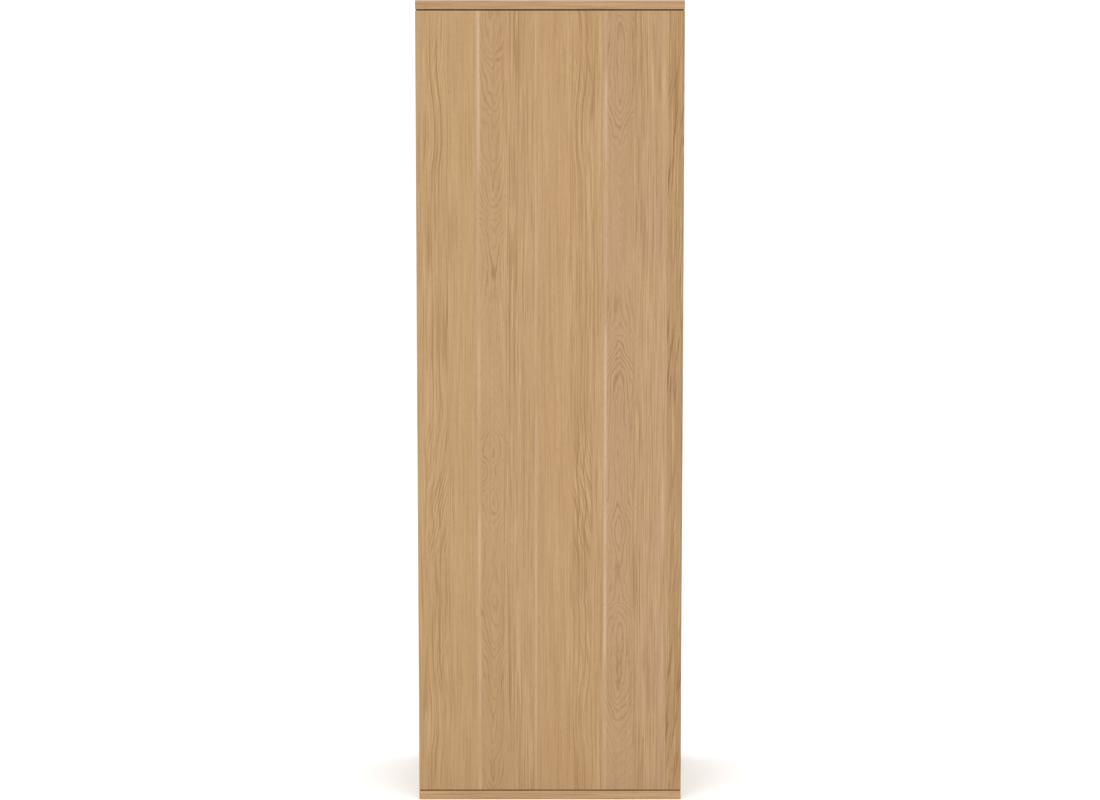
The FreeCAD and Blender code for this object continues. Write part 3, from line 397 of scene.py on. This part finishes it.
    last = g.math("GREATER_THAN", fraction, STRIPS[-1])
    drifting = g.math("MULTIPLY_ADD", slow, COARSE_DRIFT, across)
    lean = g.math("MULTIPLY_ADD", down, COARSE_SLOPE, drifting)
    coarse = g.spread(noise(COARSE_LINES, lean), low=0.55, high=0.64)
    coarse = g.math("MULTIPLY", coarse, g.math("MULTIPLY", last, curve(STRIP_TURN, turn)))
    color = cover(color, "coarse", coarse)
    color = cover(color, "pores", pores)
    color = g.blend(grit, color, wood_tone(*GRIT_TONE))

    rough = g.math("MULTIPLY_ADD", fine, FINE_ROUGHNESS, OAK_ROUGHNESS)
    rough = g.math("MULTIPLY_ADD", pores, PORE_ROUGHNESS, rough)
    height = g.math("MULTIPLY_ADD", pores, PORE_HEIGHT, g.math("MULTIPLY", rings, RING_HEIGHT))
    height = g.math("MULTIPLY_ADD", fine, FINE_HEIGHT, height)

    # Painted light: the finished colour is scaled by a factor that stands in for how much light reaches the
    # board.
    scaled = g.add("ShaderNodeVectorMath", operation="SCALE")
    g.feed(scaled.inputs["Vector"], color)
    g.feed(scaled.inputs["Scale"], source.outputs["Lightness"])
    sink = g.add("NodeGroupOutput")
    g.feed(sink.inputs["Color"], scaled.outputs["Vector"])
    g.feed(sink.inputs["Roughness"], rough)
    g.feed(sink.inputs["Height"], height)
    return tree


OAK = oak_group()


def principled(name):
    material = bpy.data.materials.new(name)
    material.use_nodes = True
    shader = material.node_tree.nodes["Principled BSDF"]
    return material, Graph(material.node_tree), shader


def oak(name, faces, seed, origin=(0.0, 0.0, 0.0), painted_light_scale=1.0):
    """Oak laid on a board. faces says how the sheet lies on the faces of each normal axis. The last
    argument scales the colour as painted light, lighter or darker than the same oak elsewhere.
    """
    material, g, shader = principled(name)
    coordinates = g.add("ShaderNodeTexCoord")
    place = g.add("ShaderNodeSeparateXYZ")
    g.feed(place.inputs[0], coordinates.outputs["Object"])
    facing = g.add("ShaderNodeSeparateXYZ")
    g.feed(facing.inputs[0], coordinates.outputs["Normal"])
    axis = {letter: g.math("SUBTRACT", place.outputs[n], origin[n]) for n, letter in enumerate("XYZ")}
    axis["-Z"] = g.math("MULTIPLY", axis["Z"], -1.0)
    across, down = (axis[letter] for letter in faces["X"][:2])
    across = g.math("ADD", across, faces["X"][2])
    for normal in ("Y", "Z"):
        turned = g.math("GREATER_THAN", g.math("ABSOLUTE", facing.outputs[normal]), FACING_LIMIT)
        new_across, new_down, shift = faces[normal]
        across = g.mix(turned, across, g.math("ADD", axis[new_across], shift))
        down = g.mix(turned, down, axis[new_down])
    grain = g.add("ShaderNodeGroup")
    grain.node_tree = OAK
    g.feed(grain.inputs["Across"], across)
    g.feed(grain.inputs["Down"], down)
    grain.inputs["Seed"].default_value = seed
    grain.inputs["Lightness"].default_value = painted_light_scale
    g.feed(shader.inputs["Base Color"], grain.outputs["Color"])
    g.feed(shader.inputs["Roughness"], grain.outputs["Roughness"])
    shader.inputs["Specular IOR Level"].default_value = OAK_SPECULAR
    bump = g.add("ShaderNodeBump")
    bump.inputs["Strength"].default_value = OAK_BUMP_STRENGTH
    bump.inputs["Distance"].default_value = OAK_BUMP_DISTANCE
    g.feed(bump.inputs["Height"], grain.outputs["Height"])
    g.feed(shader.inputs["Normal"], bump.outputs["Normal"])
    return material


def clothe(node, material):
    """Gives a CAD node its finished material."""
    slots = nodes[node].data.materials
    slots.clear()
    slots.append(material)


low, high = cad_box
half_width = (high[0] - low[0]) / 2
top_of_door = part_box("door")[1].z

# For each normal axis: the axis that runs across the sheet, the one that runs down it, and a
# shift across in metres. The front starts at the sheet's left edge, and the others anywhere.
FRONT_FACES = {"X": ("Y", "-Z", 0.05), "Y": ("X", "-Z", half_width), "Z": ("Y", "X", 0.05)}
clothe("door", oak("oak_door", FRONT_FACES, seed=1.0, origin=(0.0, 0.0, top_of_door)))

SIDE_FACES = {"X": ("Y", "-Z", 0.25), "Y": ("X", "-Z", 0.05), "Z": ("X", "Y", 0.05)}
clothe("left_side_panel", oak("oak_left_side", SIDE_FACES, seed=4.0))
clothe("right_side_panel", oak("oak_right_side", SIDE_FACES, seed=9.0, origin=(0.0, 0.11, 0.4)))
clothe("back_panel", oak("oak_back", FRONT_FACES, seed=14.0, origin=(0.05, 0.0, 0.3)))

LEVEL_FACES = {"X": ("Z", "Y", 0.05), "Y": ("Z", "X", 0.05), "Z": ("Y", "X", 0.25)}
# The sheet is moved so that the edges of these two boards show its fourth strip.
TOP_ORIGIN = (0.0, 0.0, -0.462)
BOTTOM_ORIGIN = (0.3, 0.0, -0.453)
clothe("top_panel", oak("oak_top", LEVEL_FACES, seed=20.0, origin=TOP_ORIGIN))
# Painted light: the bottom board is painted a tenth lighter to make up for the studio light that reaches it
# less than the boards above.
bottom_oak = oak("oak_bottom", LEVEL_FACES, seed=27.0, origin=BOTTOM_ORIGIN, painted_light_scale=1.10)
clothe("bottom_panel", bottom_oak)
# Each shelf is cut from another place on the sheet, with noise of its own.
SHELF_STEP = (0.17, 0.05)
FIRST_SHELF_SEED = 31.0
SHELF_SEED_STEP = 6
SHELVES = ["fixed_shelf"] + sorted(name for name in nodes if name.startswith("adjustable_shelf"))
for number, name in enumerate(SHELVES):
    shelf_origin = (SHELF_STEP[0] * number, SHELF_STEP[1] * number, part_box(name)[0].z)
    shelf_seed = FIRST_SHELF_SEED + SHELF_SEED_STEP * number
    clothe(name, oak(f"oak_{name}", LEVEL_FACES, seed=shelf_seed, origin=shelf_origin))


# ------------------------------------------------------------ metals and plastics

# The wide mottling is this much coarser than the fine one.
WIDE_TO_FINE = 12
MOTTLE_BUMP_DISTANCE = 0.0001
# Roughness runs between these shares of its middle value.
GLOSSIEST = 0.8
DULLEST = 1.25


def mottled(name, color, metallic, roughness, grain_scale, bump_strength, depth=0.82):
    """A plain metal or plastic with fine mottling in its colour, gloss and surface."""
    material, g, shader = principled(name)
    place = g.add("ShaderNodeTexCoord").outputs["Object"]
    fine = g.add("ShaderNodeTexNoise")
    g.feed(fine.inputs["Vector"], place)
    fine.inputs["Scale"].default_value = grain_scale
    fine.inputs["Detail"].default_value = 4.0
    wide = g.add("ShaderNodeTexNoise")
    g.feed(wide.inputs["Vector"], place)
    wide.inputs["Scale"].default_value = grain_scale / WIDE_TO_FINE
    wide.inputs["Detail"].default_value = 3.0
    darker = tuple(channel * depth for channel in color[:3]) + (1.0,)
    dark_patches = g.spread(wide.outputs["Fac"], low=0.35, high=0.65)
    g.feed(shader.inputs["Base Color"], g.blend(dark_patches, color, darker))
    gloss = g.spread(fine.outputs["Fac"], 0.3, 0.7, roughness * GLOSSIEST, roughness * DULLEST)
    g.feed(shader.inputs["Roughness"], gloss)
    shader.inputs["Metallic"].default_value = metallic
    bump = g.add("ShaderNodeBump")
    bump.inputs["Strength"].default_value = bump_strength
    bump.inputs["Distance"].default_value = MOTTLE_BUMP_DISTANCE
    g.feed(bump.inputs["Height"], fine.outputs["Fac"])
    g.feed(shader.inputs["Normal"], bump.outputs["Normal"])
    return material


# Name, colour, metallic, roughness, grain scale, bump strength and how dark the patches go.
NICKEL = mottled("nickel_plate", (0.72, 0.70, 0.66, 1.0), 1.0, 0.34, 900.0, 0.15, 0.92)
ZINC = mottled("cast_zinc", (0.48, 0.49, 0.51, 1.0), 1.0, 0.42, 1400.0, 0.4)
GREY = mottled("grey_plastic", (0.30, 0.30, 0.29, 1.0), 0.0, 0.48, 2500.0, 0.35, 0.95)
BLACK = mottled("black_plastic", (0.02, 0.02, 0.021, 1.0), 0.0, 0.5, 2500.0, 0.4)
BEECH = mottled("beech_dowel", srgb(214, 176, 134), 0.0, 0.7, 400.0, 0.3)
SLOT_MATERIALS = {
    "nickel_steel": NICKEL,
    "die_cast_zinc": ZINC,
    "grey_plastic": GREY,
    "black_plastic": BLACK,
    "magnet": NICKEL,
    "beech": BEECH,
}
for part in frame["record"]["subparts"]:
    if part["material_slot"] in SLOT_MATERIALS:
        clothe(part["node"], SLOT_MATERIALS[part["material_slot"]])


# ------------------------------------------------------------ floor, light and camera

FLOOR_REACH = 60.0
FLOOR_CLOUD_SCALE = 3.0
FLOOR_ROUGHNESS = 0.8
FLOOR_TONES = ((0.935, 0.935, 0.935, 1.0), (0.96, 0.96, 0.955, 1.0))


def floor():
    """A pale floor that runs on far past the view."""
    mesh = bpy.data.meshes.new("floor")
    reach = FLOOR_REACH
    corners = [(-reach, -reach, 0), (reach, -reach, 0), (reach, reach, 0), (-reach, reach, 0)]
    mesh.from_pydata(corners, [], [(0, 1, 2, 3)])
    made = bpy.data.objects.new("floor", mesh)
    scene.collection.objects.link(made)
    material, g, shader = principled("pale_floor")
    mesh.materials.append(material)
    place = g.add("ShaderNodeTexCoord").outputs["Object"]
    cloud = g.add("ShaderNodeTexNoise")
    g.feed(cloud.inputs["Vector"], place)
    cloud.inputs["Scale"].default_value = FLOOR_CLOUD_SCALE
    g.feed(shader.inputs["Base Color"], g.blend(cloud.outputs["Fac"], *FLOOR_TONES))
    shader.inputs["Roughness"].default_value = FLOOR_ROUGHNESS


def area_light(name, place, aim, size, power):
    """A rectangular light at a place, facing a point."""
    light = bpy.data.lights.new(name, "AREA")
    light.shape = "RECTANGLE"
    light.size, light.size_y = size
    light.energy = power
    made = bpy.data.objects.new(name, light)
    made.location = place
    direction = mathutils.Vector(aim) - mathutils.Vector(place)
    made.rotation_euler = direction.to_track_quat("-Z", "Y").to_euler()
    scene.collection.objects.link(made)


floor()
# Name, place, the point it looks at, size in metres and power in watts.
LIGHTS = (
    ("key", (-2.6, -4.2, 1.9), (0, -0.2, 0.8), (2.6, 3.2), 44),
    ("fill", (1.8, -3.4, 0.5), (0, -0.2, 0.2), (2.6, 0.9), 30),
    ("overhead", (0.0, -0.6, 4.4), (0, 0, 0.9), (3.0, 3.0), 60),
)
WORLD_STRENGTH = 1.08
for light in LIGHTS:
    area_light(*light)

world = bpy.data.worlds.new("studio")
scene.world = world
world.use_nodes = True
background = world.node_tree.nodes["Background"]
background.inputs["Color"].default_value = (1.0, 1.0, 1.0, 1.0)
background.inputs["Strength"].default_value = WORLD_STRENGTH
scene.view_settings.view_transform = "Standard"

# The camera looks a little down from chest height, centred on the front.
PITCH = math.radians(5.0)
STAND_OFF = 4.6
EYE_HEIGHT = 1.317
SENSOR_WIDTH = 36.0
LENS = 67.38
camera_data = bpy.data.cameras.new("camera")
camera_data.sensor_width = SENSOR_WIDTH
camera_data.lens = LENS
camera = bpy.data.objects.new("camera", camera_data)
camera.location = (0.0, low[1] - STAND_OFF, EYE_HEIGHT)
camera.rotation_euler = (math.pi / 2 - PITCH, 0.0, 0.0)
scene.collection.objects.link(camera)
scene.camera = camera
